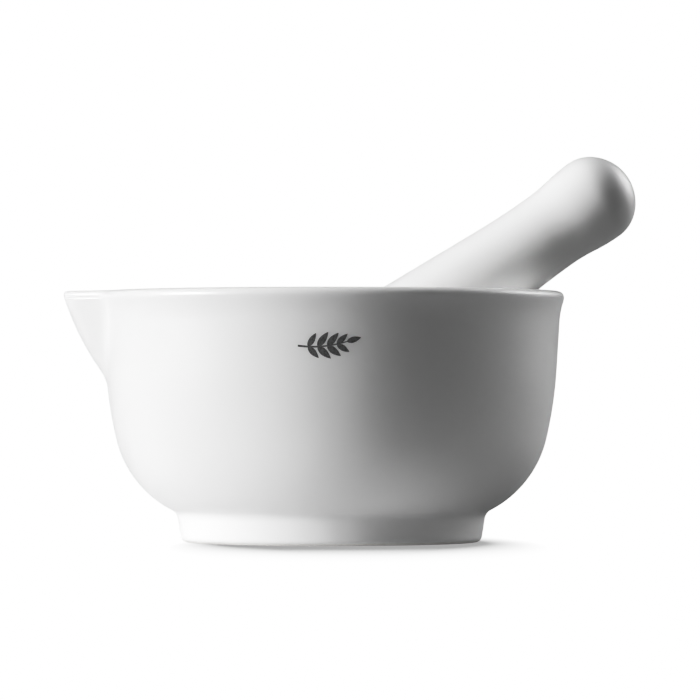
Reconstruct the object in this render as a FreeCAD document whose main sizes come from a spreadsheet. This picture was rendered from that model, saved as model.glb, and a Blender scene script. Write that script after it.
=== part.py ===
"""Porcelain mortar with a pouring spout, and its pestle leaning in it.

The origin is the middle of the foot ring's standing edge, on the bowl's axis. +Z is up and the
spout points along -X. Lengths are in millimetres and angles in degrees.
"""

import FreeCAD, Part
import math
import os

import Sketcher

Vector = FreeCAD.Vector

# Driving dimensions: name of the sheet's cell, value, what it is.
SIZES = [
    ("rim_radius", 70.0, "outside of the rim"),
    ("rim_height", 75.4, "top of the rim above the standing edge"),
    ("lip_band", 2.4, "height of the upright band round the rim"),
    ("lip_proud", 0.85, "how far that band stands out from the line of the wall"),
    ("flare_drop", 9.4, "where the wall starts to flare into the lip, below the rim"),
    ("wall_lean", 3.5, "outward lean of the upper wall"),
    ("belly_height", 52.1, "where the wall starts to curve in"),
    ("belly_radius", 126.0, "gentle curve of the wall above the turn"),
    ("turn_height", 31.1, "where the tighter turn to the underside starts"),
    ("turn_radius", 32.5, "turn from the wall to the underside"),
    ("foot_height", 8.9, "outside height of the foot ring"),
    ("foot_taper", 1.4, "how much narrower the foot is at its standing edge"),
    ("foot_land", 5.2, "width of the standing edge"),
    ("recess_depth", 3.5, "hollow inside the foot ring"),
    ("recess_taper", 2.0, "slope of that hollow's side"),
    ("wall", 7.6, "thickness of the upper wall"),
    ("floor_height", 12.0, "lowest point of the grinding surface"),
    ("dish_radius", 180.0, "hollow of the grinding surface"),
    ("corner_radius", 24.5, "turn from the grinding surface to the wall"),
    ("spout_reach", 11.0, "how far the spout's tip stands out from the rim"),
    ("spout_drop", 29.0, "depth of the spout's root below the rim"),
    ("spout_root", 4.5, "how far that root is set in from the rim's radius"),
    ("spout_bow", 84.0, "radius of the bowed line under the spout"),
    ("spout_tip", 12.0, "radius of the spout's nose, seen from above"),
    ("spout_flank", 40.0, "angle between each side of the spout and its middle line"),
    ("spout_wall", 6.0, "thickness of the spout's sides"),
    ("spout_blend", 5.0, "hollow blend where the spout grows out of the wall"),
    ("lip_round", 1.0, "rounding of the rim's edges"),
    ("foot_round", 1.8, "rounding of the standing edge and of the groove above the foot"),
    ("pestle_length", 151.8, "end to end"),
    ("knob_radius", 13.3, "knob of the handle at its widest place"),
    ("knob_depth", 12.3, "from the handle's end to that place"),
    ("knob_shoulder", 11.4, "rounding of the knob's shoulder"),
    ("knob_curve", 55.0, "curve of the knob from its widest place towards the waist"),
    ("waist_radius", 12.0, "thinnest place of the handle"),
    ("waist_depth", 29.0, "from the handle's end to that place"),
    ("waist_curve", 230.0, "curve of the handle from the waist towards the head"),
    ("head_radius", 18.5, "grinding head at its widest place"),
    ("head_depth", 15.6, "from the head's end to that place"),
    ("head_curve", 400.0, "curve of the shaft as it reaches the head"),
    ("head_shoulder", 14.0, "rounding of the head's shoulder"),
    ("pestle_lean", 35.4, "angle between the resting pestle and the table"),
    ("pestle_gap", 0.3, "gap where the pestle lies on the rim and on the grinding surface"),
]
size = {name: value for name, value, _ in SIZES}

FULL_TURN = 360.0
SAME_PLACE = 1e-6  # two ends this near are one point
SEAT_STEPS = 40  # most steps that bring the pestle to its seat


def make_sheet(doc):
    """Put the driving dimensions in a spreadsheet, one to a row."""
    sheet = doc.addObject("Spreadsheet::Sheet", "sizes")
    for row, (name, value, meaning) in enumerate(SIZES, start=1):
        sheet.set(f"A{row}", name)
        sheet.set(f"B{row}", str(value))
        sheet.set(f"C{row}", meaning)
        sheet.setAlias(f"B{row}", name)
    doc.recompute()


class Outline:
    """A sketch of a body, drawn edge by edge and tied to the sheet's cells."""

    def __init__(self, body, name, role="XZ_Plane", height=None):
        self.sketch = body.newObject("Sketcher::SketchObject", name)
        plane = next(f for f in body.Origin.OriginFeatures if f.Role == role)
        self.sketch.AttachmentSupport = [(plane, "")]
        self.sketch.MapMode = "FlatFace"
        if height:
            self.sketch.setExpression(".AttachmentOffset.Base.z", height)
        self.rules = []

    def line(self, start, end):
        return self.sketch.addGeometry(Part.LineSegment(Vector(*start), Vector(*end)))

    def arc(self, start, centre, end):
        """The shorter arc about a centre, kept counterclockwise as sketches want it."""
        first, last = (
            math.atan2(point[1] - centre[1], point[0] - centre[0]) for point in (start, end)
        )
        if (last - first) % math.tau > math.pi:
            first, last = last, first
        circle = Part.Circle(Vector(*centre), Vector(0, 0, 1), math.dist(start, centre))
        return self.sketch.addGeometry(Part.ArcOfCircle(circle, first, first + (last - first) % math.tau))

    def end(self, edge, point):
        """Which end of an edge lies at a point: 1 is its start and 2 its end."""
        shape = self.sketch.Geometry[edge]
        return 1 if (shape.StartPoint - Vector(*point)).Length < SAME_PLACE else 2

    def rule(self, *what, value=None):
        """One constraint, and the cells that its value comes from."""
        self.rules.append((Sketcher.Constraint(*what), value))

    def join(self, first, second, point, smooth=False):
        kind = "Tangent" if smooth else "Coincident"
        self.rule(kind, first, self.end(first, point), second, self.end(second, point))

    def put(self, edge, point, across=None, up=None):
        """Fix one end's distance across or up from the body's origin."""
        end = self.end(edge, point)
        for axis, place, value in (("X", point[0], across), ("Y", point[1], up)):
            ends = (-1, 1, edge, end) if place >= 0 else (edge, end, -1, 1)
            if value:
                self.rule(f"Distance{axis}", *ends, abs(place), value=value)

    def apart(self, first, first_point, second, second_point, name):
        """Fix how far the second end is across from the first."""
        ends = (first, self.end(first, first_point), second, self.end(second, second_point))
        self.rule("DistanceX", *ends, size[name], value=f"sizes.{name}")

    def radius(self, edge, name):
        self.rule("Radius", edge, size[name], value=f"sizes.{name}")

    def on_axis(self, edge, end, axis):
        """Hold an end, or a centre (3), on the sketch's level or upright axis."""
        self.rule("PointOnObject", edge, end, {"level": -1, "upright": -2}[axis])

    def finish(self):
        """Give the sketch all its rules at once, so that nothing shifts between them."""
        self.sketch.addConstraint([constraint for constraint, _ in self.rules])
        for index, (_, value) in enumerate(self.rules):
            if value:
                self.sketch.setExpression(f"Constraints[{index}]", value)
        return self.sketch


def heading(degrees):
    """Unit vector that leans outwards from upright."""
    return math.sin(math.radians(degrees)), math.cos(math.radians(degrees))


def wall_line(depth, inset=0.0):
    """Radius of the upper wall's straight line at a depth below the rim."""
    lean = math.radians(size["wall_lean"])
    return size["rim_radius"] - size["lip_proud"] - depth * math.tan(lean) - inset / math.cos(lean)


# The same line in the words of the sheet.
WALL_LINE = "(sizes.rim_radius - sizes.lip_proud - {depth} * tan(sizes.wall_lean))"


def draw_bowl_outside(body):
    """Half section of the bowl without its hollow: lip, wall, turn, foot ring and recess."""
    lean_across, lean_up = heading(size["wall_lean"])
    rim = (size["rim_radius"], size["rim_height"])
    rim_axis = (0, size["rim_height"])
    band_end = (size["rim_radius"], size["rim_height"] - size["lip_band"])
    flare = (wall_line(size["flare_drop"]), size["rim_height"] - size["flare_drop"])
    belly = (wall_line(size["rim_height"] - size["belly_height"]), size["belly_height"])

    # The flare leaves the wall's line smoothly and meets the band, which fixes its radius.
    across, up = band_end[0] - flare[0], band_end[1] - flare[1]
    off_line = across * lean_up - up * lean_across
    flare_radius = (across**2 + up**2) / (2 * off_line)
    flare_centre = (flare[0] + flare_radius * lean_up, flare[1] - flare_radius * lean_across)

    belly_centre = (
        belly[0] - size["belly_radius"] * lean_up,
        belly[1] + size["belly_radius"] * lean_across,
    )
    down = belly_centre[1] - size["turn_height"]
    turn = (belly_centre[0] + math.sqrt(size["belly_radius"] ** 2 - down**2), size["turn_height"])
    share = size["turn_radius"] / size["belly_radius"]
    turn_centre = tuple(t + share * (b - t) for t, b in zip(turn, belly_centre))
    down = turn_centre[1] - size["foot_height"]
    foot_top = (turn_centre[0] + math.sqrt(size["turn_radius"] ** 2 - down**2), size["foot_height"])
    foot_edge = (foot_top[0] - size["foot_taper"], 0)
    land_edge = (foot_edge[0] - size["foot_land"], 0)
    recess_edge = (land_edge[0] - size["recess_taper"], size["recess_depth"])
    recess_axis = (0, size["recess_depth"])

    outline = Outline(body, "bowl_outside")
    top = outline.line(rim_axis, rim)
    band = outline.line(rim, band_end)
    flaring = outline.arc(band_end, flare_centre, flare)
    wall = outline.line(flare, belly)
    bellying = outline.arc(belly, belly_centre, turn)
    turning = outline.arc(turn, turn_centre, foot_top)
    foot = outline.line(foot_top, foot_edge)
    land = outline.line(foot_edge, land_edge)
    slope = outline.line(land_edge, recess_edge)
    ceiling = outline.line(recess_edge, recess_axis)
    axis = outline.line(recess_axis, rim_axis)

    outline.join(top, band, rim)
    outline.join(band, flaring, band_end)
    outline.join(flaring, wall, flare, smooth=True)
    outline.join(wall, bellying, belly, smooth=True)
    outline.join(bellying, turning, turn, smooth=True)
    outline.join(turning, foot, foot_top)
    outline.join(foot, land, foot_edge)
    outline.join(land, slope, land_edge)
    outline.join(slope, ceiling, recess_edge)
    outline.join(ceiling, axis, recess_axis)
    outline.join(axis, top, rim_axis)

    outline.rule("Horizontal", top)
    outline.rule("Vertical", band)
    outline.rule("Vertical", axis)
    outline.rule("Horizontal", ceiling)
    outline.on_axis(axis, outline.end(axis, recess_axis), "upright")
    outline.on_axis(land, outline.end(land, foot_edge), "level")
    outline.on_axis(land, outline.end(land, land_edge), "level")
    outline.put(top, rim, "sizes.rim_radius", "sizes.rim_height")
    outline.put(band, band_end, up="sizes.rim_height - sizes.lip_band")
    across = WALL_LINE.format(depth="sizes.flare_drop")
    outline.put(wall, flare, across, "sizes.rim_height - sizes.flare_drop")
    across = WALL_LINE.format(depth="(sizes.rim_height - sizes.belly_height)")
    outline.put(wall, belly, across, "sizes.belly_height")
    outline.radius(bellying, "belly_radius")
    outline.put(turning, turn, up="sizes.turn_height")
    outline.radius(turning, "turn_radius")
    outline.put(foot, foot_top, up="sizes.foot_height")
    outline.apart(foot, foot_edge, foot, foot_top, "foot_taper")
    outline.apart(land, land_edge, land, foot_edge, "foot_land")
    outline.apart(slope, recess_edge, slope, land_edge, "recess_taper")
    outline.put(ceiling, recess_edge, up="sizes.recess_depth")
    return outline.finish()


def draw_bowl_inside(body):
    """Half section of the hollow: wall, corner and the dished grinding surface."""
    lean = math.radians(size["wall_lean"])
    corner, dish = size["corner_radius"], size["dish_radius"]
    dish_centre = (0, size["floor_height"] + dish)
    rim = (wall_line(0, size["wall"]), size["rim_height"])

    # The corner's centre keeps its radius from the wall's line and touches the dish inside.
    across = rim[0] - corner / math.cos(lean) - (size["rim_height"] - dish_centre[1]) * math.tan(lean)
    slope = math.tan(lean)
    a, b, c = 1 + slope**2, across * slope, across**2 - (dish - corner) ** 2
    above_dish = (-b - math.sqrt(b**2 - a * c)) / a
    corner_centre = (across + slope * above_dish, dish_centre[1] + above_dish)
    wall_end = (
        corner_centre[0] + corner * math.cos(lean),
        corner_centre[1] - corner * math.sin(lean),
    )
    share = dish / (dish - corner)
    dish_end = tuple(d + share * (c - d) for d, c in zip(dish_centre, corner_centre))
    bottom = (0, size["floor_height"])
    rim_axis = (0, size["rim_height"])

    outline = Outline(body, "bowl_inside")
    wall = outline.line(wall_end, rim)
    cornering = outline.arc(wall_end, corner_centre, dish_end)
    dishing = outline.arc(dish_end, dish_centre, bottom)
    axis = outline.line(bottom, rim_axis)
    top = outline.line(rim_axis, rim)

    outline.join(wall, cornering, wall_end, smooth=True)
    outline.join(cornering, dishing, dish_end, smooth=True)
    outline.join(dishing, axis, bottom)
    outline.join(axis, top, rim_axis)
    outline.join(top, wall, rim)

    outline.rule("Vertical", axis)
    outline.rule("Horizontal", top)
    outline.on_axis(axis, outline.end(axis, bottom), "upright")
    outline.on_axis(dishing, 3, "upright")
    across = WALL_LINE.format(depth="0") + " - sizes.wall / cos(sizes.wall_lean)"
    outline.put(top, rim, across, "sizes.rim_height")
    upright = math.pi / 2 - lean
    outline.rule("Angle", wall, upright, value="(90 - sizes.wall_lean) * 1 deg")
    outline.radius(cornering, "corner_radius")
    outline.radius(dishing, "dish_radius")
    outline.put(axis, bottom, up="sizes.floor_height")
    return outline.finish()


def draw_spout_line(body):
    """The bowed line under the spout, from its tip down to its root inside the wall."""
    tip = Vector(-size["rim_radius"] - size["spout_reach"], size["rim_height"])
    root = Vector(-size["rim_radius"] + size["spout_root"], size["rim_height"] - size["spout_drop"])
    half = (root - tip) / 2
    inward = Vector(-half.y, half.x).normalize()
    centre = tip + half + inward * math.sqrt(size["spout_bow"] ** 2 - half.Length**2)
    outline = Outline(body, "spout_line")
    bow = outline.arc(tip[:2], centre[:2], root[:2])
    outline.radius(bow, "spout_bow")
    outline.put(bow, tip[:2], "sizes.rim_radius + sizes.spout_reach", "sizes.rim_height")
    outline.put(
        bow, root[:2], "sizes.rim_radius - sizes.spout_root", "sizes.rim_height - sizes.spout_drop"
    )
    return outline.finish()


def draw_spout_section(body, name, nose, nose_rule, back, back_rule):
    """Level section of the spout or of its channel: a round nose with straight sides."""
    flank = math.radians(size["spout_flank"])
    centre = (-size["rim_radius"] - size["spout_reach"] + size["spout_tip"], 0)
    touch = (centre[0] - nose * math.sin(flank), nose * math.cos(flank))
    end = (-back, touch[1] + (touch[0] + back) * -math.tan(flank))
    outline = Outline(body, name, "XY_Plane", "sizes.rim_height")

    def over(point):
        return point[0], -point[1]

    tip = outline.arc(touch, centre, over(touch))
    near = outline.line(touch, end)
    far = outline.line(over(touch), over(end))
    behind = outline.line(end, over(end))
    outline.join(tip, near, touch, smooth=True)
    outline.join(tip, far, over(touch), smooth=True)
    outline.join(near, behind, end)
    outline.join(far, behind, over(end))
    outline.rule("Vertical", behind)
    outline.rule("Radius", tip, nose, value=nose_rule)
    outline.on_axis(tip, 3, "level")
    outline.rule(
        "DistanceX", tip, 3, -1, 1, -centre[0],
        value="sizes.rim_radius + sizes.spout_reach - sizes.spout_tip",
    )
    outline.rule("Angle", near, flank, value="sizes.spout_flank * 1 deg")
    outline.rule("Angle", far, -flank, value="-sizes.spout_flank * 1 deg")
    outline.put(near, end, across=back_rule)
    return outline.finish()


def revolve(body, kind, sketch, name):
    feature = body.newObject(f"PartDesign::{kind}", name)
    feature.Profile = sketch
    feature.ReferenceAxis = (sketch, ["V_Axis"])
    feature.Angle = FULL_TURN
    sketch.Visibility = False
    return feature


def sweep(body, kind, section, line, name):
    """Move a level section down the spout's line without turning it."""
    feature = body.newObject(f"PartDesign::{kind}", name)
    feature.Profile = section
    feature.Spine = (line, ["Edge1"])
    feature.Mode = "Fixed"
    return feature


def round_edges(body, base, chosen, cell, name):
    """Fillet the edges of the body so far that a test picks."""
    names = [f"Edge{i}" for i, edge in enumerate(base.Shape.Edges, start=1) if chosen(edge)]
    fillet = body.newObject("PartDesign::Fillet", name)
    fillet.Base = (base, names)
    fillet.Radius = size[cell]
    fillet.setExpression("Radius", f"sizes.{cell}")
    body.Document.recompute()
    return fillet


def level_at(height):
    """Test for the edges that lie level at a height."""

    def chosen(edge):
        box = edge.BoundBox
        return abs(box.ZMin - height) < SAME_PLACE and abs(box.ZMax - height) < SAME_PLACE

    return chosen


def at_spout_root(edge):
    """Test for the edges where the spout grows out of the wall."""
    box = edge.BoundBox
    on_wall = all(
        math.hypot(end.X, end.Y) < size["rim_radius"] + SAME_PLACE for end in edge.Vertexes
    )
    return box.XMax < 0 and box.ZLength > SAME_PLACE and on_wall


def make_mortar(doc):
    """One glazed casting: the bowl with its foot ring, and the spout pulled out of its rim."""
    body = doc.addObject("PartDesign::Body", "mortar")
    body.Label = "mortar"
    revolve(body, "Revolution", draw_bowl_outside(body), "blank")
    line = draw_spout_line(body)
    nose = draw_spout_section(
        body, "spout_nose", size["spout_tip"], "sizes.spout_tip",
        size["rim_radius"] - size["wall"], "sizes.rim_radius - sizes.wall",
    )
    spout = sweep(body, "AdditivePipe", nose, line, "spout")
    doc.recompute()
    round_edges(body, spout, at_spout_root, "spout_blend", "blended_spout")
    revolve(body, "Groove", draw_bowl_inside(body), "hollow")
    channel_nose = draw_spout_section(
        body, "channel_nose",
        size["spout_tip"] - size["spout_wall"], "sizes.spout_tip - sizes.spout_wall",
        size["rim_radius"] - size["wall"] - size["spout_reach"],
        "sizes.rim_radius - sizes.wall - sizes.spout_reach",
    )
    channel = sweep(body, "SubtractivePipe", channel_nose, line, "channel")
    doc.recompute()
    lip = round_edges(body, channel, level_at(size["rim_height"]), "lip_round", "rounded_lip")
    foot = round_edges(body, lip, level_at(0), "foot_round", "rounded_foot")
    round_edges(body, foot, level_at(size["foot_height"]), "foot_round", "rounded_groove")
    return body


def draw_pestle(body):
    """Half section of the pestle: its head's end at the origin, the handle's end up the axis."""
    length, knob, waist, head = (
        size[name] for name in ("pestle_length", "knob_radius", "waist_radius", "head_radius")
    )

    def end_cap(radius, depth, shoulder):
        """Crown radius and meeting point of a cap, measured from the end along the axis."""
        crown = (shoulder**2 - depth**2 - (radius - shoulder) ** 2) / (2 * (shoulder - depth))
        share = crown / (crown - shoulder)
        return crown, (share * (radius - shoulder), crown + share * (depth - crown))

    knob_crown, knob_meet = end_cap(knob, size["knob_depth"], size["knob_shoulder"])
    head_crown, head_meet = end_cap(head, size["head_depth"], size["head_shoulder"])
    handle_end, head_end = (0, length), (0, 0)
    knob_meet = (knob_meet[0], length - knob_meet[1])
    knob_wide = (knob, length - size["knob_depth"])
    waist_place = (waist, length - size["waist_depth"])
    head_wide = (head, size["head_depth"])

    # From the knob to the waist the line turns one way and back, level at both ends.
    along, drop = knob_wide[1] - waist_place[1], knob - waist
    both = (along**2 + drop**2) / (2 * drop)
    share = size["knob_curve"] / both
    neck_curve = both - size["knob_curve"]
    neck = tuple(k + share * (w - k) for k, w in zip(knob_wide, waist_place))

    # The straight taper touches the waist's curve on one side and the head's on the other.
    waist_centre = (waist + size["waist_curve"], waist_place[1])
    head_centre = (head - size["head_curve"], head_wide[1])
    apart = math.dist(waist_centre, head_centre)
    line_of_centres = math.atan2(
        waist_centre[1] - head_centre[1], waist_centre[0] - head_centre[0]
    )
    touch = line_of_centres - math.acos((size["waist_curve"] + size["head_curve"]) / apart)
    facing = (math.cos(touch), math.sin(touch))
    taper_top = tuple(c - size["waist_curve"] * f for c, f in zip(waist_centre, facing))
    taper_foot = tuple(c + size["head_curve"] * f for c, f in zip(head_centre, facing))

    outline = Outline(body, "pestle_outline")
    knob_crowning = outline.arc(handle_end, (0, length - knob_crown), knob_meet)
    knob_shoulder_centre = (knob - size["knob_shoulder"], knob_wide[1])
    knob_shoulder = outline.arc(knob_meet, knob_shoulder_centre, knob_wide)
    knob_belly = outline.arc(knob_wide, (knob - size["knob_curve"], knob_wide[1]), neck)
    necking = outline.arc(neck, (waist + neck_curve, waist_place[1]), waist_place)
    handle = outline.arc(waist_place, waist_centre, taper_top)
    taper = outline.line(taper_top, taper_foot)
    shaft = outline.arc(taper_foot, head_centre, head_wide)
    head_shoulder_centre = (head - size["head_shoulder"], head_wide[1])
    head_shoulder = outline.arc(head_wide, head_shoulder_centre, head_meet)
    head_crowning = outline.arc(head_meet, (0, head_crown), head_end)
    axis = outline.line(head_end, handle_end)

    outline.join(knob_crowning, knob_shoulder, knob_meet, smooth=True)
    outline.join(knob_shoulder, knob_belly, knob_wide, smooth=True)
    outline.join(knob_belly, necking, neck, smooth=True)
    outline.join(necking, handle, waist_place, smooth=True)
    outline.join(handle, taper, taper_top, smooth=True)
    outline.join(taper, shaft, taper_foot, smooth=True)
    outline.join(shaft, head_shoulder, head_wide, smooth=True)
    outline.join(head_shoulder, head_crowning, head_meet, smooth=True)
    outline.join(head_crowning, axis, head_end)
    outline.join(axis, knob_crowning, handle_end)

    outline.rule("Vertical", axis)
    outline.rule("Coincident", axis, outline.end(axis, head_end), -1, 1)
    outline.put(axis, handle_end, up="sizes.pestle_length")
    outline.on_axis(knob_crowning, 3, "upright")
    outline.on_axis(head_crowning, 3, "upright")
    for edge, place, radius, depth in (
        (knob_belly, knob_wide, "knob_radius", "sizes.pestle_length - sizes.knob_depth"),
        (handle, waist_place, "waist_radius", "sizes.pestle_length - sizes.waist_depth"),
        (shaft, head_wide, "head_radius", "sizes.head_depth"),
    ):
        outline.rule("Horizontal", edge, outline.end(edge, place), edge, 3)
        outline.put(edge, place, f"sizes.{radius}", depth)
    outline.radius(knob_shoulder, "knob_shoulder")
    outline.radius(knob_belly, "knob_curve")
    outline.radius(handle, "waist_curve")
    outline.radius(shaft, "head_curve")
    outline.radius(head_shoulder, "head_shoulder")
    return outline.finish()


def make_pestle(doc):
    """One porcelain casting with a knob for the hand and a rough round head."""
    body = doc.addObject("PartDesign::Body", "pestle")
    body.Label = "pestle"
    revolve(body, "Revolution", draw_pestle(body), "pestle_blank")
    doc.recompute()
    return body


def seat_pestle(pestle, hollow):
    """Lean the pestle on the rim, over on +X, with its head on the grinding surface.

    Both are worked out in the upright plane through the spout, where they are nearest. Each step
    moves the pestle's outline by what its two distances still lack.
    """
    turn = FreeCAD.Rotation(Vector(0, 1, 0), 90 - size["pestle_lean"])
    half = pestle.Document.getObject("pestle_outline").Shape
    outline = Part.makeCompound([half, half.mirror(Vector(), Vector(1, 0, 0))])
    surface = hollow.Shape.mirror(Vector(), Vector(1, 0, 0))
    floor = Part.makeCompound([e for e in surface.Edges if e.Curve.TypeId == "Part::GeomCircle"])
    depth = size["lip_round"]
    edge_across = wall_line(depth, size["wall"]) + depth / math.cos(math.radians(size["wall_lean"]))
    edge = Part.Vertex(Vector(edge_across, 0, size["rim_height"] - depth))
    place = Vector(0, 0, size["rim_height"])
    for _ in range(SEAT_STEPS):
        outline.Placement = FreeCAD.Placement(place, turn)
        lacks = []
        for still, wanted in (
            (edge, size["lip_round"] + size["pestle_gap"]),
            (floor, size["pestle_gap"]),
        ):
            distance, points, _ = still.distToShape(outline)
            away = (points[0][1] - points[0][0]).normalize()
            lacks.append((away, wanted - distance))
        (a, lack_a), (b, lack_b) = lacks
        cross = a.x * b.z - a.z * b.x
        step = Vector((lack_a * b.z - lack_b * a.z) / cross, 0, (lack_b * a.x - lack_a * b.x) / cross)
        place += step
        if step.Length < SAME_PLACE:
            break
    pestle.Placement = FreeCAD.Placement(place, turn)


document = FreeCAD.newDocument("mortar_and_pestle")
make_sheet(document)
mortar = make_mortar(document)
pestle = make_pestle(document)
seat_pestle(pestle, document.getObject("bowl_inside"))

for thing in document.Objects:
    assert not {"Invalid", "Error"} & set(thing.State), f"{thing.Name} failed"
for piece in (mortar, pestle):
    assert not piece.Shape.isNull() and piece.Shape.isValid(), f"{piece.Label} has no valid shape"
os.makedirs("parts", exist_ok=True)
for piece in (mortar, pestle):
    piece.Shape.exportStep(f"parts/{piece.Label}.step")
    box = piece.Shape.BoundBox
    print(piece.Label, len(piece.Shape.Solids), round(piece.Shape.Volume), box)
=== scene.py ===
"""Looks of a porcelain mortar with a pouring spout, and of the pestle that leans in it."""

# %% [markdown]
# # A porcelain mortar and pestle
#
# The real object is two pieces of white porcelain. The bowl was shaped on a wheel, its spout was
# pulled out of the soft rim by hand, and both pieces were dipped in glaze, except where they grind
# and where the bowl stood in the kiln. This file dresses the packed design: it keeps every size and
# place, and adds the soft edges, the glaze and the bare porcelain that the plain solids lack.
#
# The design is loaded first. Everything after it reads its box, its bodies and its meshes.

# %% Load the design
import math

import bpy
import numpy as np
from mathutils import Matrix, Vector


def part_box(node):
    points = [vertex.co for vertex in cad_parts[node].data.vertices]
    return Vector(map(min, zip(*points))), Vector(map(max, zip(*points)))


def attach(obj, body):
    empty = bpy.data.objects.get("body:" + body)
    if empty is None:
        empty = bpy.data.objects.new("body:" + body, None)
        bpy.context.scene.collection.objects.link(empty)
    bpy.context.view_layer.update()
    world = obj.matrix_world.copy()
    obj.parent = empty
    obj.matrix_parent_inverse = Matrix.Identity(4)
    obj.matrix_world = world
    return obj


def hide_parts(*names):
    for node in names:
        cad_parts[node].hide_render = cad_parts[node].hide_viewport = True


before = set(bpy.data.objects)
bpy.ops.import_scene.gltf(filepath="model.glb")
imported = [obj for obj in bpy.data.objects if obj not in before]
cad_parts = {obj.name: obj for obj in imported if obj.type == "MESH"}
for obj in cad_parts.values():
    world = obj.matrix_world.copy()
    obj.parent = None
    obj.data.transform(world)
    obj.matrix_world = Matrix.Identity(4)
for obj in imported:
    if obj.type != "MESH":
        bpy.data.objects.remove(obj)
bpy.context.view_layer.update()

# %% [markdown]
# ## Measures
#
# A maker of mortars thinks in a few numbers: the rim, the height, how much the wall leans and how
# round the turn to the foot is. The overall ones come from the design's box, so that they can't
# drift from it. The others are the maker's own numbers, in millimetres turned into metres.

# %% Measures of the bowl
MM = 0.001
bowl_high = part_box("mortar")[1]
RIM_RADIUS = bowl_high.x
RIM_HEIGHT = bowl_high.z
SPOUT_TIP = RIM_RADIUS + 11.0 * MM

LIP_BAND = 2.4 * MM
LIP_PROUD = 0.85 * MM
FLARE_DROP = 9.4 * MM
WALL_LEAN = math.radians(3.5)
BELLY_HEIGHT = 52.1 * MM
BELLY_RADIUS = 126.0 * MM
TURN_HEIGHT = 31.1 * MM
TURN_RADIUS = 32.5 * MM
FOOT_HEIGHT = 8.9 * MM
FOOT_TAPER = 1.4 * MM
FOOT_LAND = 5.2 * MM
RECESS_DEPTH = 3.5 * MM
RECESS_TAPER = 2.0 * MM
WALL = 7.6 * MM
FLOOR_HEIGHT = 12.0 * MM
DISH_RADIUS = 180.0 * MM
CORNER_RADIUS = 24.5 * MM
SPOUT_DROP = 29.0 * MM
SPOUT_ROOT = 4.5 * MM
SPOUT_BOW = 84.0 * MM
SPOUT_NOSE = 12.0 * MM
SPOUT_FLANK = math.radians(40)
SPOUT_WALL = 6.0 * MM
print(f"rim {RIM_RADIUS / MM:.1f} mm, height {RIM_HEIGHT / MM:.1f} mm, spout to {SPOUT_TIP / MM:.1f} mm")

# %% [markdown]
# ## The bowl's section
#
# A thrown bowl is round, so its whole shape is one half section turned about the axis. The section
# could be drawn by hand as a curve and spun with a Screw modifier. Here it is a chain of straight
# runs and arcs that touch each other smoothly, because a potter's template is cut that way, and
# because the spout has to be pulled out of single rings of points afterwards.
#
# Fired porcelain has no sharp edge: glaze and wear round all of them. So each corner of the chain
# is replaced by a short curve that leaves both its sides smoothly.

# %% Chain of runs and arcs


def run(start, end, count):
    """Points from start up to, but not at, end."""
    share = np.linspace(0, 1, count, endpoint=False)[:, None]
    return np.asarray(start) + share * (np.asarray(end) - np.asarray(start))


def arc(centre, start, end, count):
    """Points along the shorter arc from start up to, but not at, end."""
    centre, start, end = (np.asarray(point, float) for point in (centre, start, end))
    radius = np.hypot(*(start - centre))
    first, last = (math.atan2(*(point - centre)[::-1]) for point in (start, end))
    turn = (last - first + math.pi) % math.tau - math.pi
    angle = first + turn * np.linspace(0, 1, count, endpoint=False)
    return centre + radius * np.stack([np.cos(angle), np.sin(angle)], axis=1)


def lengths(line):
    """Distance along a line of points."""
    return np.concatenate([[0], np.cumsum(np.hypot(*np.diff(line, axis=0).T))])


def soften(line, corner, reach, count=9):
    """Replace one corner of a line by a curve that starts and ends reach away from it."""
    along = lengths(line)
    at = along[np.argmin(np.hypot(*(line - corner).T))]

    def point(distance):
        return np.array([np.interp(distance, along, line[:, k]) for k in (0, 1)])

    before, after = point(at - reach), point(at + reach)
    share = np.linspace(0, 1, count)[:, None]
    curve = (1 - share) ** 2 * before + 2 * share * (1 - share) * corner + share**2 * after
    return np.concatenate([line[along < at - reach], curve, line[along > at + reach]])


def wall_line(height, inset=0.0):
    """Radius of the upper wall's straight line."""
    depth = RIM_HEIGHT - height
    return RIM_RADIUS - LIP_PROUD - depth * math.tan(WALL_LEAN) - inset / math.cos(WALL_LEAN)


print("a quarter turn of 8 points:", arc((0, 0), (1, 0), (0, 1), 8).shape)

# %% Outside of the bowl, from the foot to the lip
out_of_wall = np.array([math.cos(WALL_LEAN), -math.sin(WALL_LEAN)])

lip_edge = np.array([RIM_RADIUS, RIM_HEIGHT])
band_foot = np.array([RIM_RADIUS, RIM_HEIGHT - LIP_BAND])
flare_foot = np.array([wall_line(RIM_HEIGHT - FLARE_DROP), RIM_HEIGHT - FLARE_DROP])
reach = band_foot - flare_foot
flare_radius = reach @ reach / (2 * reach @ out_of_wall)
flare_centre = flare_foot + flare_radius * out_of_wall

belly_top = np.array([wall_line(BELLY_HEIGHT), BELLY_HEIGHT])
belly_centre = belly_top - BELLY_RADIUS * out_of_wall
belly_drop = belly_centre[1] - TURN_HEIGHT
turn_top = np.array([belly_centre[0] + math.sqrt(BELLY_RADIUS**2 - belly_drop**2), TURN_HEIGHT])
turn_centre = turn_top + (belly_centre - turn_top) * TURN_RADIUS / BELLY_RADIUS
turn_drop = turn_centre[1] - FOOT_HEIGHT
foot_top = np.array([turn_centre[0] + math.sqrt(TURN_RADIUS**2 - turn_drop**2), FOOT_HEIGHT])
foot_edge = np.array([foot_top[0] - FOOT_TAPER, 0])
land_edge = foot_edge - [FOOT_LAND, 0]
recess_edge = land_edge + [-RECESS_TAPER, RECESS_DEPTH]

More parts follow.
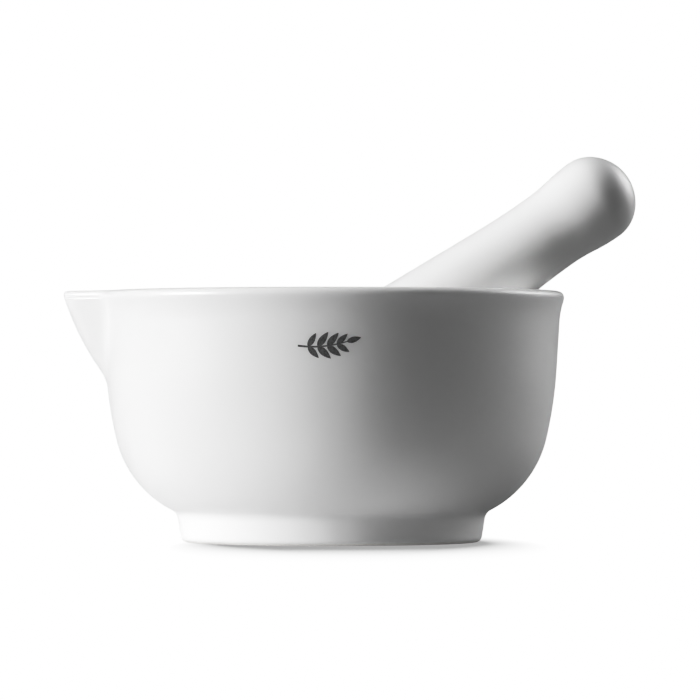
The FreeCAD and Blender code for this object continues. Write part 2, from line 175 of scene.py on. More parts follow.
outside = np.concatenate([
    run((0, RECESS_DEPTH), recess_edge, 16),
    run(recess_edge, land_edge, 6),
    run(land_edge, foot_edge, 8),
    run(foot_edge, foot_top, 10),
    arc(turn_centre, foot_top, turn_top, 30),
    arc(belly_centre, turn_top, belly_top, 18),
    run(belly_top, flare_foot, 10),
    arc(flare_centre, flare_foot, band_foot, 10),
    run(band_foot, lip_edge, 4),
])
print(f"{len(outside)} points outside; the foot's edge is {foot_edge[0] / MM:.1f} mm out")

# %% Inside of the bowl, from the lip to the middle of the grinding surface
inner_lip_edge = np.array([wall_line(RIM_HEIGHT, WALL), RIM_HEIGHT])
dish_centre = np.array([0, FLOOR_HEIGHT + DISH_RADIUS])
slope = math.tan(WALL_LEAN)
across = wall_line(dish_centre[1], WALL) - CORNER_RADIUS / math.cos(WALL_LEAN)
a, b, c = 1 + slope**2, across * slope, across**2 - (DISH_RADIUS - CORNER_RADIUS) ** 2
above_dish = (-b - math.sqrt(b**2 - a * c)) / a
corner_centre = np.array([across + slope * above_dish, dish_centre[1] + above_dish])
wall_foot = corner_centre + CORNER_RADIUS * out_of_wall
dish_edge = dish_centre + (corner_centre - dish_centre) * DISH_RADIUS / (DISH_RADIUS - CORNER_RADIUS)
floor_middle = np.array([0, FLOOR_HEIGHT])

inside = np.concatenate([
    run(inner_lip_edge, wall_foot, 26),
    arc(corner_centre, wall_foot, dish_edge, 24),
    arc(dish_centre, dish_edge, floor_middle, 26),
    [floor_middle],
])
print(f"{len(inside)} points inside; the wall is {(wall_line(0) - wall_line(0, WALL)) / MM:.1f} mm thick")

# %% Soft corners, and which side of the wall each point belongs to
BAND_SOFT = 1.0 * MM
LIP_SOFT = 2.2 * MM
INNER_LIP_SOFT = 1.8 * MM
FOOT_SOFT = 2.0 * MM
GROOVE_SOFT = 1.9 * MM
LIP_CROWN = 0.2 * MM

section = np.concatenate([outside, run(lip_edge, inner_lip_edge, 10), inside])
for corner, soft in (
    (recess_edge, FOOT_SOFT),
    (land_edge, FOOT_SOFT),
    (foot_edge, FOOT_SOFT),
    (foot_top, GROOVE_SOFT),
    (lip_edge, LIP_SOFT),
    (band_foot, BAND_SOFT),
    (inner_lip_edge, INNER_LIP_SOFT),
):
    section = soften(section, corner, soft)

outward = (section[:, 0] - inner_lip_edge[0]) / (RIM_RADIUS - inner_lip_edge[0])
top = np.argmax(section[:, 1] > RIM_HEIGHT - LIP_SOFT)
place = np.arange(len(section))
on_lip = section[:, 1] > RIM_HEIGHT - LIP_SOFT
last_lip = place[on_lip][-1]
outer_share = np.where(place < top, 1.0, np.where(place > last_lip, 0.0, outward.clip(0, 1)))
section[on_lip, 1] -= LIP_CROWN * (2 * outer_share[on_lip] - 1) ** 2
print(f"{len(section)} points in the section, {on_lip.sum()} of them on the lip")

# %% [markdown]
# ## The pull of the spout
#
# A potter makes a spout by holding the soft rim between two fingers and stroking a third one
# outwards. The wall moves out, keeps most of its thickness, and runs back into the round bowl in
# a soft hollow. It could be modelled as a second piece and joined with a Boolean, which leaves a
# hard crease and ragged faces. Here each ring of the turned bowl is moved outwards instead, so the
# skin stays one sheet of tidy four-sided faces and the join is as soft as clay.
#
# Seen from above the spout is a round nose with two straight flanks. The distance from the axis to
# that outline has a plain formula, and a soft maximum of it and the wall's own radius does the pull.

# %% Distance from the axis to the spout
OUTER_JOIN = 2.0 * MM
INNER_JOIN = 4.0 * MM
NEVER = -1.0
FLANK_END = math.radians(45)

tip_top = np.array([SPOUT_TIP, RIM_HEIGHT])
tip_foot = np.array([RIM_RADIUS - SPOUT_ROOT, RIM_HEIGHT - SPOUT_DROP])
half_chord = (tip_top - tip_foot) / 2
rise = math.sqrt(SPOUT_BOW**2 - half_chord @ half_chord)
inward = np.array([-half_chord[1], half_chord[0]]) / np.hypot(*half_chord)
bow_centre = tip_foot + half_chord + inward * rise


def tip_distance(height):
    """Distance from the axis to the spout's front edge at a height."""
    return bow_centre[0] + math.sqrt(SPOUT_BOW**2 - (height - bow_centre[1]) ** 2)


def nose_distance(angle, height, radius):
    """Distance from the axis to the spout's outline, or to its channel when the radius is less."""
    if height < tip_foot[1]:
        return np.full_like(angle, NEVER)
    away = tip_distance(height) - SPOUT_NOSE
    flank = (away * math.sin(SPOUT_FLANK) + radius) / abs(np.sin(angle + SPOUT_FLANK))
    room = radius**2 - (away * np.sin(angle)) ** 2
    nose = away * np.cos(angle) + np.sqrt(np.maximum(room, 0))
    meeting = math.atan2(radius * math.cos(SPOUT_FLANK), away + radius * math.sin(SPOUT_FLANK))
    return np.where(angle < meeting, nose, np.where(angle < FLANK_END, flank, NEVER))


def soft_maximum(first, second, width):
    """The larger of two distances, with the join rounded over a width."""
    near = np.maximum(width - abs(first - second), 0) / width
    return np.maximum(first, second) + near**2 * width / 4


print(f"the spout is {tip_distance(RIM_HEIGHT) / MM:.1f} mm out at the rim, "
      f"{tip_distance(tip_foot[1]) / MM:.1f} mm at its foot")

# %% [markdown]
# ## Skins from rings of points
#
# Both pieces are closed skins: rings of points, one above the other, and one point at each end.
# Blender's own Spin tool makes the same thing. Writing the faces down directly keeps them in even
# rows, and lets the rings lie closer together where the spout needs it.

# %% Build a skin


def skin(name, first, rings, last):
    """A closed, smooth mesh through rings of points, with one point at each end."""
    count, around = rings.shape[:2]
    points = np.concatenate([[first], rings.reshape(-1, 3), [last]])
    here = 1 + np.arange(count * around).reshape(count, around)
    beside = np.roll(here, -1, axis=1)
    faces = np.stack([here[:-1], beside[:-1], beside[1:], here[1:]], axis=-1).reshape(-1, 4).tolist()
    end = len(points) - 1
    faces += [(0, b, a) for a, b in zip(here[0].tolist(), beside[0].tolist())]
    faces += [(a, b, end) for a, b in zip(here[-1].tolist(), beside[-1].tolist())]
    mesh = bpy.data.meshes.new(name)
    mesh.from_pydata(points.tolist(), [], faces)
    mesh.shade_smooth()
    piece = bpy.data.objects.new(name, mesh)
    bpy.context.scene.collection.objects.link(piece)
    print(f"{name}: {len(mesh.polygons)} faces")
    return piece


def directions(fine_half, fine_step, coarse_step):
    """Angles once round, closer together on both sides of the spout."""
    fine = np.arange(-fine_half, fine_half, fine_step)
    coarse = np.linspace(fine_half, 360 - fine_half, round((360 - 2 * fine_half) / coarse_step), False)
    return np.radians(np.concatenate([fine, coarse]))


# %% The mortar's skin
SPOUT_HALF_ANGLE = 30
turning = directions(SPOUT_HALF_ANGLE, 0.75, 2.0)
from_spout = abs((turning + math.pi) % math.tau - math.pi)

rings = []
for (radius, height), share in zip(section, outer_share):
    outer = radius if share == 1 else RIM_RADIUS
    inner = radius if share == 0 else wall_line(height, WALL)
    nose = nose_distance(from_spout, height, SPOUT_NOSE)
    channel = nose_distance(from_spout, height, SPOUT_NOSE - SPOUT_WALL)
    pull_outer = soft_maximum(outer, nose, OUTER_JOIN) - outer if share > 0 else 0
    pull_inner = soft_maximum(inner, channel, INNER_JOIN) - inner if share < 1 else 0
    pulled = radius + share * pull_outer + (1 - share) * pull_inner
    spread = np.broadcast_to(pulled, turning.shape)
    rings.append(np.stack([-spread * np.cos(turning), -spread * np.sin(turning),
                           np.full_like(turning, height)], axis=1))

mortar = skin("mortar_body", rings[0][0] * [0, 0, 1], np.array(rings[1:-1]), rings[-1][0] * [0, 0, 1])
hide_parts("mortar")
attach(mortar, "mortar")

# %% [markdown]
# ## The pestle
#
# The pestle was cast in one piece: a heavy round head that grinds, a handle that thins towards a
# waist, and a knob that stops the hand from slipping. Its half section is a chain of arcs which are
# all level with, or touch, their neighbours. It is turned about the pestle's own axis, which leans
# in the bowl, and where that axis lies is measured on the packed solid.

# %% Where the pestle lies
PESTLE_LEAN = math.radians(35.4)
up_pestle = np.array([math.cos(PESTLE_LEAN), 0, math.sin(PESTLE_LEAN)])
over_pestle = np.array([-math.sin(PESTLE_LEAN), 0, math.cos(PESTLE_LEAN)])
beside_pestle = np.cross(up_pestle, over_pestle)

packed = np.array([vertex.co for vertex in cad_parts["pestle"].data.vertices])
along_axis, across_axis = packed @ up_pestle, packed @ over_pestle
off_axis = (across_axis.min() + across_axis.max()) / 2
head_end = along_axis.min() * up_pestle + off_axis * over_pestle
PESTLE_LENGTH = np.ptp(along_axis)
HEAD_RADIUS = np.ptp(across_axis) / 2
print(f"pestle {PESTLE_LENGTH / MM:.1f} mm long, head {HEAD_RADIUS / MM:.1f} mm in radius, "
      f"its end at {np.round(head_end / MM, 2)} mm")

# %% Half section of the pestle
KNOB_RADIUS = 13.3 * MM
KNOB_DEPTH = 12.3 * MM
KNOB_SHOULDER = 11.4 * MM
KNOB_CURVE = 55.0 * MM
WAIST_RADIUS = 12.0 * MM
WAIST_DEPTH = 29.0 * MM
WAIST_CURVE = 230.0 * MM
HEAD_DEPTH = 15.6 * MM
HEAD_CURVE = 400.0 * MM
HEAD_SHOULDER = 14.0 * MM


def crown(radius, depth, shoulder):
    """Radius of an end's flat crown, and how far out and deep it meets the shoulder's arc."""
    flat = (shoulder**2 - depth**2 - (radius - shoulder) ** 2) / (2 * (shoulder - depth))
    share = flat / (flat - shoulder)
    return flat, (share * (radius - shoulder), flat + share * (depth - flat))


knob_crown, (knob_out, knob_down) = crown(KNOB_RADIUS, KNOB_DEPTH, KNOB_SHOULDER)
head_crown, (head_out, head_up) = crown(HEAD_RADIUS, HEAD_DEPTH, HEAD_SHOULDER)
knob_meet = (knob_out, PESTLE_LENGTH - knob_down)
knob_wide = np.array([KNOB_RADIUS, PESTLE_LENGTH - KNOB_DEPTH])
waist = np.array([WAIST_RADIUS, PESTLE_LENGTH - WAIST_DEPTH])
head_wide = np.array([HEAD_RADIUS, HEAD_DEPTH])

step = knob_wide - waist
both_curves = step @ step / (2 * step[0])
neck = knob_wide - KNOB_CURVE / both_curves * step
neck_centre = waist + [both_curves - KNOB_CURVE, 0]
waist_centre = waist + [WAIST_CURVE, 0]
head_centre = head_wide - [HEAD_CURVE, 0]
between = waist_centre - head_centre
facing_angle = math.atan2(between[1], between[0]) - math.acos(
    (WAIST_CURVE + HEAD_CURVE) / np.hypot(*between)
)
facing = np.array([math.cos(facing_angle), math.sin(facing_angle)])
taper_top = waist_centre - WAIST_CURVE * facing
taper_foot = head_centre + HEAD_CURVE * facing

pestle_section = np.concatenate([
    arc((0, head_crown), (0, 0), (head_out, head_up), 16),
    arc(head_wide - [HEAD_SHOULDER, 0], (head_out, head_up), head_wide, 22),
    arc(head_centre, head_wide, taper_foot, 14),
    run(taper_foot, taper_top, 8),
    arc(waist_centre, taper_top, waist, 26),
    arc(neck_centre, waist, neck, 10),
    arc(knob_wide - [KNOB_CURVE, 0], neck, knob_wide, 12),
    arc(knob_wide - [KNOB_SHOULDER, 0], knob_wide, knob_meet, 22),
    arc((0, PESTLE_LENGTH - knob_crown), knob_meet, (0, PESTLE_LENGTH), 12),
    [(0, PESTLE_LENGTH)],
])
print(f"{len(pestle_section)} points; waist {2 * WAIST_RADIUS / MM:.0f} mm, knob "
      f"{2 * KNOB_RADIUS / MM:.1f} mm across")

# %% The pestle's skin
spin = np.linspace(0, math.tau, 128, endpoint=False)[:, None]
circle = np.cos(spin) * over_pestle + np.sin(spin) * beside_pestle
pestle_rings = np.array([
    head_end + distance * up_pestle + radius * circle for radius, distance in pestle_section[1:-1]
])
pestle = skin("pestle_body", head_end, pestle_rings, head_end + PESTLE_LENGTH * up_pestle)
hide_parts("pestle")
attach(pestle, "pestle")

# %% [markdown]
# ## The printed sprig
#
# A small dark mark is printed on the front of such a bowl, under the rim, and fired with the glaze.
# This one is a plain sprig of a kitchen herb. It could be painted by the bowl's material. As thin
# pieces of its own it keeps a crisp edge from every distance. Each leaf is a flat shape, laid on
# the wall by reading how far round the bowl and how high it is, and is as thick as a printed film.

# %% Lay flat shapes on the wall
MARK_HEIGHT = 58.4 * MM
MARK_MIDDLE = -1.3 * MM
FILM = 0.04 * MM
SUNK = 0.15 * MM


def on_wall(across, up, proud):
    """Point on the wall's front, across and up from the mark's middle."""
    height = MARK_HEIGHT + up
    radius = wall_line(height) + proud
    angle = (MARK_MIDDLE + across) / RIM_RADIUS
    return (radius * math.sin(angle), -radius * math.cos(angle), height)


def add_film(left, right, points, faces):
    """Closed thin slab between two lines of points which run side by side."""
    start = len(points)
    for one, other in zip(left, right):
        points.extend(on_wall(*spot, proud) for proud in (FILM, -SUNK) for spot in (one, other))
    front_left, front_right, back_left, back_right = range(4)
    ring = [front_left, back_left, back_right, front_right]
    for k in range(len(left) - 1):
        here, ahead = start + 4 * k, start + 4 * (k + 1)
        for corner, following in zip(ring, ring[1:] + ring[:1]):
            faces.append((here + corner, ahead + corner, ahead + following, here + following))
    tail = start + 4 * (len(left) - 1)
    faces.append([start + corner for corner in ring])
    faces.append([tail + corner for corner in ring[::-1]])


def leaf(base, heading, length, width, count=12):
    """Both edges of a leaf, which swells and ends in a point."""
    ahead = np.array([math.cos(heading), math.sin(heading)])
    aside = np.array([-ahead[1], ahead[0]])
    shares = np.linspace(0, 1, count)[:, None]
    half = width / 2 * (0.04 + np.sin(math.pi * shares**0.8).clip(0, 1) ** 0.9)
    spine = base + shares * length * ahead
    return spine + half * aside, spine - half * aside


print("the mark's middle lies at", np.round(np.array(on_wall(0, 0, 0)) / MM, 1), "mm")

# %% The sprig's stem and leaves
STEM_LENGTH = 15.0 * MM
STEM_WIDTH = 0.46 * MM
LEAF_LENGTH = 5.4 * MM
LEAF_WIDTH = 2.0 * MM
LEAF_PAIRS = 4
FIRST_PAIR = 0.20
PAIR_SPACING = 0.19
LARGEST_LEAF = 0.45
LEAF_SPREAD = 52
SPREAD_CLOSES = 5
SPRIG_TILT = 6
TIP_LEAF = 0.8


def stem_point(share):
    """Place along the stem, which bends up a little."""
    return np.array([(share - 0.56) * STEM_LENGTH, (1.5 * share**2 - 0.9 * share) * 2.2 * MM])


points, faces = [], []
stem = np.array([stem_point(share) for share in np.linspace(0, 1, 17)])
half_stem = np.linspace(1.15, 0.55, len(stem))[:, None] * [0, STEM_WIDTH / 2]
add_film(stem + half_stem, stem - half_stem, points, faces)
for pair in range(LEAF_PAIRS):
    share = FIRST_PAIR + PAIR_SPACING * pair
    size = 1 - 0.35 * abs(share - LARGEST_LEAF) / (1 - LARGEST_LEAF)
    for side in (1, -1):
        heading = side * math.radians(LEAF_SPREAD - SPREAD_CLOSES * pair) + math.radians(SPRIG_TILT)
        add_film(*leaf(stem_point(share), heading, LEAF_LENGTH * size, LEAF_WIDTH * size), points, faces)
tip_leaf = leaf(stem_point(0.97), math.radians(16), TIP_LEAF * LEAF_LENGTH, TIP_LEAF * LEAF_WIDTH)
add_film(*tip_leaf, points, faces)

mark_mesh = bpy.data.meshes.new("printed_sprig")
mark_mesh.from_pydata(points, [], faces)
mark = bpy.data.objects.new("printed_sprig", mark_mesh)
bpy.context.scene.collection.objects.link(mark)
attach(mark, "mortar")
print(f"{mark.name}: {len(faces)} faces")

# %% [markdown]
# ## Writing shaders as sums
#
# A finish is worked out from a few fields, such as how high a point lies or how cloudy the glaze is
# there. In the node editor each sum is a box with two wires. The class below wraps one socket, so
# that a sum of two fields is written as a sum, and the boxes are made behind it. Colours and places
# aren't numbers, so they go through their own Mix and Vector Math boxes.

# %% A socket that can be added and multiplied


class Term:
    """One socket of a recipe. Sums and products of terms make the Math nodes they need."""

    def __init__(self, recipe, socket):
        self.recipe = recipe
        self.socket = socket

    def maths(self, operation, first, second, clamp=False):
        settings = {"operation": operation, "use_clamp": clamp}
        return self.recipe.node("Math", settings, {0: first, 1: second})

    def __add__(self, other):
        return self.maths("ADD", self, other)

    def __sub__(self, other):
        return self.maths("SUBTRACT", self, other)

    def __rsub__(self, other):
        return self.maths("SUBTRACT", other, self)

    def __mul__(self, other):
        return self.maths("MULTIPLY", self, other)

    def __truediv__(self, other):
        return self.maths("DIVIDE", self, other)

    def __rtruediv__(self, other):
        return self.maths("DIVIDE", other, self)

    def __pow__(self, other):
        return self.maths("POWER", self, other)

    __radd__ = __add__
    __rmul__ = __mul__

    def over(self, edge, width):
        """0 below an edge and 1 above it, changing over a width."""
        return self.maths("ADD", (self - edge) / width, 0.5, clamp=True)

    def positive(self):
        return self.maths("MAXIMUM", self, 0.0)


class Recipe:
    """A node tree, emptied, that gets its nodes one at a time."""

    def __init__(self, tree):
        self.tree = tree
        tree.nodes.clear()

    def node(self, kind, settings=None, inputs=None, output=0):
        """Add a node of a kind, change its settings, fill its sockets, and give one output."""
        made = self.tree.nodes.new("ShaderNode" + kind)
        for name, value in (settings or {}).items():
            setattr(made, name, value)
        for key, value in (inputs or {}).items():
            if isinstance(value, Term):
                self.tree.links.new(value.socket, made.inputs[key])
            else:
                made.inputs[key].default_value = value
        return Term(self, made.outputs[output]) if made.outputs else made

    def noise(self, place, scale, detail=2.0):
        """Cloudy field about 0.5, with this many clouds to the metre."""
        inputs = {"Vector": place, "Scale": scale, "Detail": detail}
        return self.node("TexNoise", None, inputs, "Fac")

    def blend(self, share, first, second):
        """One colour turning into another."""
        return self.node("Mix", {"data_type": "RGBA"}, {0: share, 6: first, 7: second}, 2)

    def along(self, place, direction):
        """How far a place lies along a direction."""
        return self.node("VectorMath", {"operation": "DOT_PRODUCT"},
                         {0: place, 1: tuple(direction)}, "Value")


print("a term knows", ", ".join(name for name, what in vars(Term).items() if callable(what)))

# %% [markdown]
# ## Glaze, and porcelain left bare
#
# Hard porcelain is a cold white all through. Where it is glazed it has a glassy skin that is never
# perfectly even: it lies in slow clouds, pools a little greyer in the hollow above the foot and draws
# back from the edges, which look warmer. Where it grinds, and where it stood in the kiln, it is bare:
# dry, matt and finely grained, with faint marks of use. One material could be put on each zone of
# faces. Here one finish turns into the other by a mask, so the glaze line can wander a little, as
# a dipped one does, and stands proud of the bare ground by the glaze's own thickness.

# %% Colours of porcelain
GLAZE_WHITE = (0.90, 0.90, 0.90, 1)
GLAZE_CLOUD = (0.872, 0.872, 0.872, 1)
GLAZE_POOL = (0.775, 0.785, 0.79, 1)
GLAZE_EDGE = (0.895, 0.885, 0.87, 1)
BARE_LIGHT = (0.87, 0.865, 0.85, 1)
BARE_DARK = (0.80, 0.79, 0.77, 1)
MARK_OF_USE = (0.50, 0.49, 0.47, 1)
GLAZE_ROUGHNESS = 0.26
BARE_ROUGHNESS = 0.62
LIGHT_SINKS_IN = 3.5 * MM
CLOUDS_TO_METRE = 24.0
RIPPLES_TO_METRE = 150.0
GRAINS_TO_METRE = 2600.0
GLAZE_THICK = 0.12
RIPPLE_DEEP = 0.016
GRAIN_DEEP = 0.05


def porcelain(name, masks):
    """Glazed porcelain. masks gives where it is bare, pooled, thin-edged and marked by use."""
    material = bpy.data.materials.new(name)
    material.use_nodes = True
    recipe = Recipe(material.node_tree)
    place = recipe.node("TexCoord", output="Object")
    bare, pooled, edge, used = masks(recipe, place)
    clouds = recipe.noise(place, CLOUDS_TO_METRE)
    ripple = recipe.noise(place, RIPPLES_TO_METRE, 1.0)
    grain = recipe.noise(place, GRAINS_TO_METRE, 3.0)
    glaze = recipe.blend(clouds.over(0.5, 0.5), GLAZE_WHITE, GLAZE_CLOUD)
    glaze = recipe.blend(pooled, glaze, GLAZE_POOL)
    glaze = recipe.blend(edge, glaze, GLAZE_EDGE)
    dry = recipe.blend(grain.over(0.5, 0.4), BARE_LIGHT, BARE_DARK)
    dry = recipe.blend(used, dry, MARK_OF_USE)
    glazed = 1 - bare
    height = glazed * (ripple * RIPPLE_DEEP + GLAZE_THICK) + bare * grain * GRAIN_DEEP
    bump = recipe.node("Bump", None, {"Strength": 1.0, "Distance": MM, "Height": height})
    roughness = glazed * (GLAZE_ROUGHNESS + 0.05 * clouds) + bare * BARE_ROUGHNESS
    shader = recipe.node("BsdfPrincipled", None, {
        "Base Color": recipe.blend(bare, glaze, dry),
        "Roughness": roughness,
        "Normal": bump,
        "IOR": 1.5,
        "Specular IOR Level": 0.38,
        "Subsurface Weight": 0.35,
        "Subsurface Radius": (1.0, 1.0, 1.0),
        "Subsurface Scale": LIGHT_SINKS_IN,
    })
    recipe.node("OutputMaterial", None, {"Surface": shader})
    print(f"{name}: {len(recipe.tree.nodes)} nodes")
    return material


# %% The mortar's finish
INSIDE_GLAZE_LINE = RIM_HEIGHT - 13 * MM
LAND_GLAZE_LINE = 0.7 * MM
UNDER_DISH = FLOOR_HEIGHT - 4 * MM
UNDER_DISH_CURVE = 4.5
EDGE_WIDTH = 0.5 * MM
POOL_ABOVE_FOOT = 0.6 * MM
POOL_HALF_WIDTH = 1.6 * MM
POOL_SHOWS = 0.55
THIN_LIP = 0.5 * MM
THIN_LIP_WIDTH = 1.2 * MM
LINES_TO_METRE = 60.0
LINE_WANDERS = 2.2 * MM
WORN_RADIUS = 34 * MM
WORN_FADES_OVER = 40 * MM


def mortar_masks(recipe, place):
    """Bare inside and on the standing edge, pooled above the foot, thin on the lip."""
    height = recipe.along(place, (0, 0, 1))
    out = recipe.node("VectorMath", {"operation": "LENGTH"}, {
        0: recipe.node("VectorMath", {"operation": "MULTIPLY"}, {0: place, 1: (1, 1, 0)})
    }, "Value")
    wander = (recipe.noise(place, LINES_TO_METRE) - 0.5) * LINE_WANDERS
    middle = wall_line(0, WALL / 2) + height * math.tan(WALL_LEAN)
    inner = (middle - out).over(0, EDGE_WIDTH)
    above_floor = (height - out * out * UNDER_DISH_CURVE).over(UNDER_DISH, EDGE_WIDTH)
    below_line = (INSIDE_GLAZE_LINE + wander - height).over(0, EDGE_WIDTH)
    standing = (LAND_GLAZE_LINE + wander * 0.2 - height).over(0, EDGE_WIDTH)
    bare = recipe.node("Math", {"operation": "MAXIMUM"}, {0: inner * above_floor * below_line, 1: standing})
    from_groove = (height - foot_top[1] - POOL_ABOVE_FOOT) / POOL_HALF_WIDTH
    pooled = (1 - inner) * POOL_SHOWS / (1 + from_groove * from_groove * from_groove * from_groove)
    edge = height.over(RIM_HEIGHT - THIN_LIP, THIN_LIP_WIDTH) * 0.5
    rings_of_use = recipe.noise(
        recipe.node("CombineXYZ", None, {"X": out * 9.0, "Y": height * 3.0}), 90.0, 4.0
    )
    used = rings_of_use.over(0.66, 0.25) * (1 - out.over(WORN_RADIUS, WORN_FADES_OVER)) * 0.35
    return bare, pooled, edge, used


glazed_mortar = porcelain("glazed_porcelain_mortar", mortar_masks)
mortar.data.materials.append(glazed_mortar)

# %% The pestle's finish
HEAD_GLAZE_LINE = 44 * MM


def pestle_masks(recipe, place):
    """Bare over the grinding head, glazed over the handle and the knob."""
    distance = recipe.along(place, up_pestle) - float(head_end @ up_pestle)
    wander = (recipe.noise(place, LINES_TO_METRE) - 0.5) * LINE_WANDERS
    bare = (HEAD_GLAZE_LINE + wander - distance).over(0, EDGE_WIDTH)
    from_line = (distance - HEAD_GLAZE_LINE - 1.2 * MM) / (1.5 * MM)
    pooled = 0.25 / (1 + from_line * from_line)
    used = recipe.noise(place, 420.0, 4.0).over(0.62, 0.3) * (1 - distance.over(12 * MM, 16 * MM)) * 0.4
    return bare, pooled, 0, used


glazed_pestle = porcelain("glazed_porcelain_pestle", pestle_masks)
pestle.data.materials.append(glazed_pestle)

# %% The print's finish
INK = (0.15, 0.15, 0.15, 1)
INK_THIN = (0.21, 0.21, 0.21, 1)

printed = bpy.data.materials.new("fired_grey_print")
printed.use_nodes = True
recipe = Recipe(printed.node_tree)
place = recipe.node("TexCoord", output="Object")
cover = recipe.noise(place, 1500.0, 3.0)
shader = recipe.node("BsdfPrincipled", None, {
    "Base Color": recipe.blend(cover.over(0.55, 0.4), INK, INK_THIN),
    "Roughness": 0.18 + 0.2 * cover,
})
recipe.node("OutputMaterial", None, {"Surface": shader})
mark.data.materials.append(printed)
print(f"{printed.name}: {len(recipe.tree.nodes)} nodes")

# %% [markdown]
# ## The floor
#
# The pieces stand on a plain white floor, wide enough for every view and too evenly lit to show an
# edge. All that it shows is the soft shadow where the pieces keep the light off it. A matt surface
# under real lamps would do that too, and would turn grey a little way out. Here the paper shines
# plain white by itself, and an Ambient Occlusion node dims it where the bowl hides the sky. The node
# looks up and to the left, towards the light, so the shadow lies a little to the right.
#
# What the porcelain gets back from the floor is set apart from that: a moderate glow, stronger on
# the lit side, and very little of the lamps' light, as if dark cards lay around the bowl.

# %% Lay the floor
FLOOR_HALF = 9.0
WHITE = (1.0, 1.0, 1.0, 1)
BLACK = (0.0, 0.0, 0.0, 1)
CARD_GREY = (0.30, 0.30, 0.30, 1)
CARD_GLOW_LEFT = 0.32
CARD_GLOW_RIGHT = 0.02
LIT_SIDE = (-0.9, -0.4, 0)
CARD_TURNS_OVER = 0.09
CARD_REACH = 0.12
CARD_FADES_OVER = 0.06
SHADOW_SEEKS = 0.20
SHADOW_DEPTH = 2.1
SHADOW_FLOOR = 0.29
SHADOW_SHAPE = (1.3, 0.48, 0.0)
SHADOW_MIDDLE = (0.008, -0.05, 0.0)
SHADOW_REACH = 0.052
SHADOW_FADES_OVER = 0.04
TOWARDS_LIGHT = (-0.55, 0.55, 0.63)

floor_mesh = bpy.data.meshes.new("studio_floor")
corners = [(x * FLOOR_HALF, y * FLOOR_HALF, 0) for x, y in ((-1, -1), (1, -1), (1, 1), (-1, 1))]
floor_mesh.from_pydata(corners, [], [(0, 1, 2, 3)])
floor = bpy.data.objects.new("studio_floor", floor_mesh)
bpy.context.scene.collection.objects.link(floor)

paper = bpy.data.materials.new("white_paper_sweep")
paper.use_nodes = True
recipe = Recipe(paper.node_tree)
place = recipe.node("TexCoord", output="Object")
open_sky = recipe.node("AmbientOcclusion", {"samples": 16},
                       {"Distance": SHADOW_SEEKS, "Normal": TOWARDS_LIGHT}, "AO")


def length(recipe, place, stretch, middle=(0, 0, 0)):
    """How far a place lies from a middle, with its axes stretched."""
    moved = recipe.node("VectorMath", {"operation": "SUBTRACT"}, {0: place, 1: middle})
    stretched = recipe.node("VectorMath", {"operation": "MULTIPLY"}, {0: moved, 1: stretch})
    return recipe.node("VectorMath", {"operation": "LENGTH"}, {0: stretched}, "Value")


from_middle = length(recipe, place, SHADOW_SHAPE, SHADOW_MIDDLE)
shadow = (1 - open_sky) * (1 - from_middle.over(SHADOW_REACH, SHADOW_FADES_OVER))
paper_light = recipe.node("Math", {"operation": "MAXIMUM"}, {0: 1 - SHADOW_DEPTH * shadow, 1: SHADOW_FLOOR})
shown = recipe.node("Emission", None, {"Color": recipe.blend(paper_light, BLACK, WHITE)})
lit_side = recipe.along(place, LIT_SIDE).over(0, CARD_TURNS_OVER)
glow = CARD_GLOW_RIGHT + (CARD_GLOW_LEFT - CARD_GLOW_RIGHT) * lit_side
glow = glow * (1 - length(recipe, place, (1, 1, 1)).over(CARD_REACH, CARD_FADES_OVER))
card = recipe.node("AddShader", None, {
    0: recipe.node("BsdfDiffuse", None, {"Color": CARD_GREY}),
    1: recipe.node("Emission", None, {"Color": recipe.blend(glow, BLACK, WHITE)}),
})
seen = recipe.node("LightPath", output="Is Camera Ray")
both = recipe.node("MixShader", None, {0: seen, 1: card, 2: shown})
recipe.node("OutputMaterial", None, {"Surface": both})
floor_mesh.materials.append(paper)
print(f"floor {2 * FLOOR_HALF:.0f} m across")

# %% [markdown]
# ## Soft studio light
#
# White porcelain shows its shape only through soft light with a clear side. The bowl is lit by a
# large, soft source far to the left; a weaker one stands behind on the right and draws a lighter
# band along that edge, and between them it stays dark. A dim light hangs above. Area lamps would do
# it, and would be mirrored in the glaze as hard rectangles. A sky that is brighter in those
# directions does the same with no edge, and the background itself is shown plain white.

# %% Light the sky
GLOW = 0.017


def aimed(around, above):
    """Direction at an angle around from +X, and at an angle above the floor."""
    around, above = math.radians(around), math.radians(above)
    flat = math.cos(above)
    return (math.cos(around) * flat, math.sin(around) * flat, math.sin(above))


SOFT_LIGHTS = {
    "large light on the left": (aimed(194, 14), 45, 22.3),
    "strip behind on the right": (aimed(35, 26), 20, 4.9),
    "light overhead": (aimed(180, 70), 10, 0.95),
}

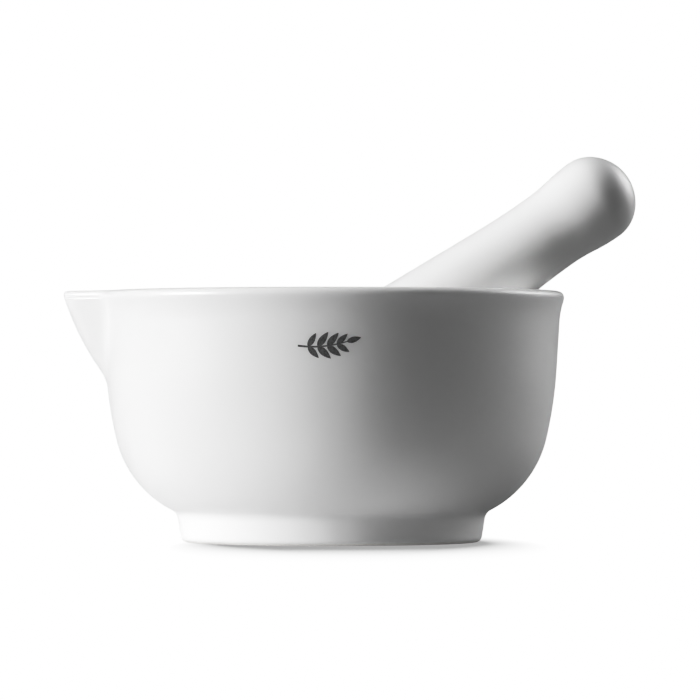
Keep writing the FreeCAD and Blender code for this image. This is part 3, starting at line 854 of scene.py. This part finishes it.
world = bpy.data.worlds.new("studio")
bpy.context.scene.world = world
world.use_nodes = True
recipe = Recipe(world.node_tree)
towards = recipe.node("TexCoord", output="Generated")
brightness = GLOW
for title, (direction, narrowness, strength) in SOFT_LIGHTS.items():
    brightness = brightness + strength * recipe.along(towards, direction).positive() ** narrowness
    print(f"{title}: strength {strength}")
lit = recipe.node("Background", None, {"Color": WHITE, "Strength": brightness})
plain = recipe.node("Background", None, {"Color": WHITE, "Strength": 1.0})
seen = recipe.node("LightPath", output="Is Camera Ray")
recipe.node("OutputWorld", None, {"Surface": recipe.node("MixShader", None, {0: seen, 1: lit, 2: plain})})

# %% [markdown]
# ## The print's contrast
#
# A catalogue picture is printed with a little more contrast than the eye sees: the lit side nears
# white sooner, and the shaded side keeps its depth. Blender can do it afterwards in the compositor.
# A curve in the colour management does it for every view alike, and leaves black and white alone.

# %% Set the contrast
CONTRAST = ((0.08, 0.06), (0.15, 0.14), (0.30, 0.42), (0.50, 0.70), (0.75, 0.885))

view = bpy.context.scene.view_settings
view.view_transform = "Standard"
view.use_curve_mapping = True
curve = view.curve_mapping.curves[3]
for light, shown_as in CONTRAST:
    curve.points.new(light, shown_as)
view.curve_mapping.update()
print("the contrast curve has", len(curve.points), "points")

# %% [markdown]
# ## The camera
#
# The view is that of a catalogue: from far away with a long lens, so that the rim is a straight
# line, and from just under the rim's height. The camera aims at a point between the bowl's middle
# and the knob.

# %% Place the camera
CAMERA_DISTANCE = 1.55
CAMERA_HEIGHT = 45 * MM
AIM = Vector((5.6 * MM, 0, 57.7 * MM))

lens = bpy.data.cameras.new("catalogue_camera")
lens.lens = 265
lens.sensor_width = 36
lens.clip_end = 30
camera = bpy.data.objects.new("catalogue_camera", lens)
bpy.context.scene.collection.objects.link(camera)
camera.location = (AIM.x, -CAMERA_DISTANCE, CAMERA_HEIGHT)
camera.rotation_euler = (AIM - camera.location).to_track_quat("-Z", "Y").to_euler()
bpy.context.scene.camera = camera
print(f"camera {CAMERA_DISTANCE} m away, {lens.lens:.0f} mm lens")

# %% [markdown]
# ## Finish
#
# The dressed pieces must fill the same box as the packed design. The last step brings the scene's layers up
# to date.

# %% Bring the scene up to date
bpy.context.view_layer.update()
